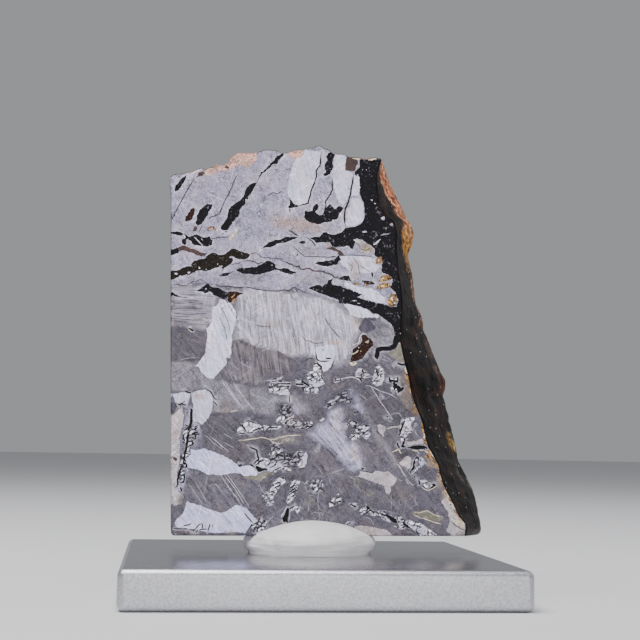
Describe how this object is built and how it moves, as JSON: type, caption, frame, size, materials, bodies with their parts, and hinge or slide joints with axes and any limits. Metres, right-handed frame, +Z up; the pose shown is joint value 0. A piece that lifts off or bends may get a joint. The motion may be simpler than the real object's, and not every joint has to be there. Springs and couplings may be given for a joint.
{
  "type": "iron meteorite slice on a plate",
  "caption": "Cut and etched slice of iron meteorite with a rough dark crust along one side, standing upright in white putty on a small square metal plate.",
  "frame": {"origin": "centre of the plate's underside, which is also the bottom centre of the whole part", "axes": "+Z up, along the standing slice; +X to the right of someone who faces the slice's front; +Y away from them, across the slice's thickness"},
  "size_m": [0.05, 0.05, 0.0616],
  "materials": {
    "plate": "satin, sawn from flat bar, edges rounded",
    "putty": "soft white mounting putty, pressed by hand",
    "etched_iron": "nickel iron, sawn and acid etched on its faces, rusty and black on its natural side"
  },
  "bodies": {
    "root": {"plate": "plate", "putty": "putty", "meteorite": "etched_iron"}
  },
  "joints": []
}
